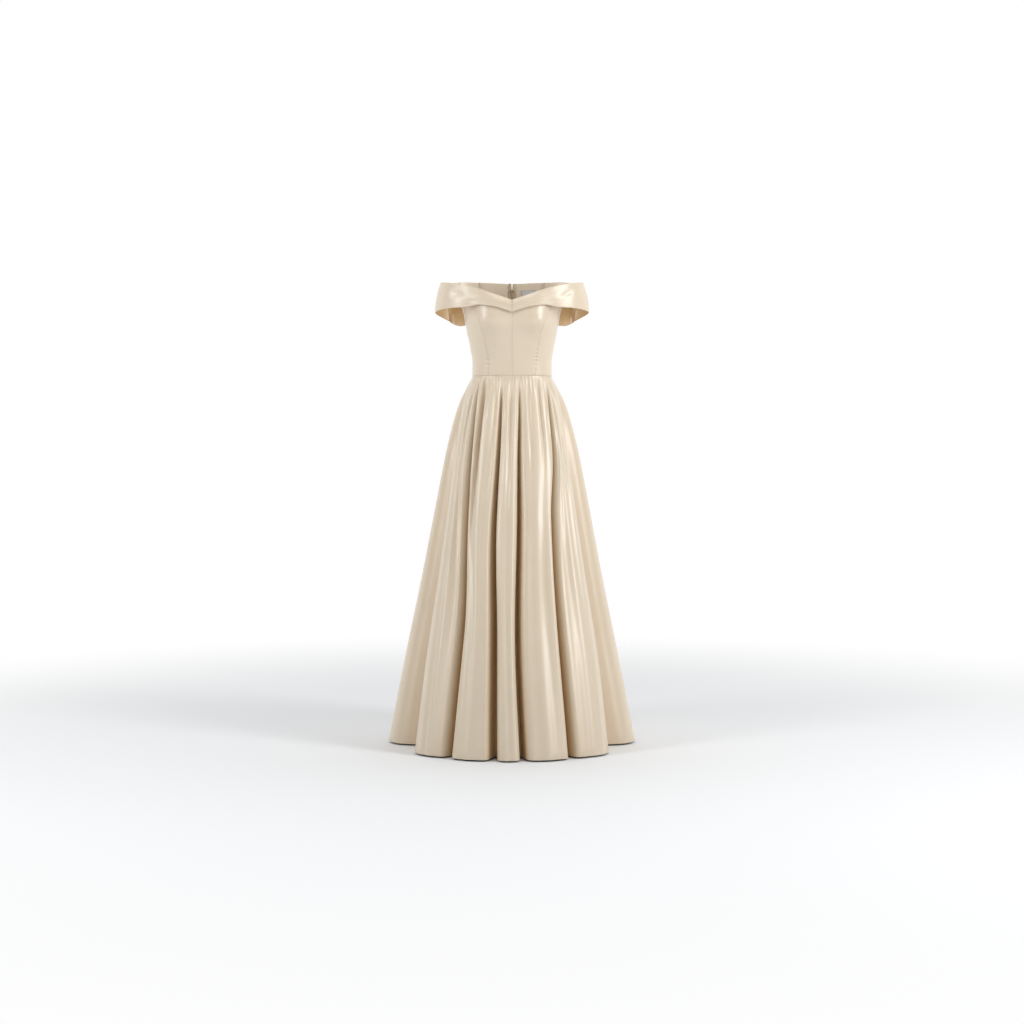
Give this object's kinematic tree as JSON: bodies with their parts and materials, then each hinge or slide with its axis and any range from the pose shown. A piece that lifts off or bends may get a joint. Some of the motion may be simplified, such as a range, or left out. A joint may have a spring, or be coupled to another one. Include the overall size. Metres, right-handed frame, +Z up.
{
  "type": "off-shoulder evening dress",
  "caption": "Full-length satin dress with a folded off-shoulder collar band, fitted seamed bodice, gathered flared skirt and a concealed back zip.",
  "frame": {"origin": "centre of the waist seam, level with it, where the wearer's waist carries the dress", "axes": "+Z up towards the neck, -Y towards the front, +X towards the wearer's left"},
  "size_m": [0.7382, 0.7026, 1.3785],
  "materials": {
    "satin": "smooth champagne satin with a soft sheen",
    "zip_tape": "matte woven tape",
    "metal": "antique plated metal",
    "label": "plain woven label with a dark border"
  },
  "bodies": {
    "dress": {"bodice_front_centre_left": "satin", "bodice_front_centre_right": "satin", "bodice_front_side_left": "satin", "bodice_front_side_right": "satin", "bodice_back_side_left": "satin", "bodice_back_side_right": "satin", "bodice_back_centre_left": "satin", "bodice_back_centre_right": "satin", "collar_front_left": "satin", "collar_front_right": "satin", "sleeve_back_left": "satin", "sleeve_back_right": "satin", "skirt_front": "satin", "skirt_back_left": "satin", "skirt_back_right": "satin", "zip_tape_left": "zip_tape", "zip_tape_right": "zip_tape", "zip_slider": "metal", "hook": "metal", "eye": "metal", "label": "label"},
    "zip_pull": {"zip_pull": "metal"}
  },
  "joints": [
    {"name": "pull_hinge", "type": "hinge", "parent": "dress", "child": "zip_pull", "pos_m": [0, 0.1021, 0.2625], "axis": [1, 0, 0], "range_deg": [0, 165]}
  ]
}
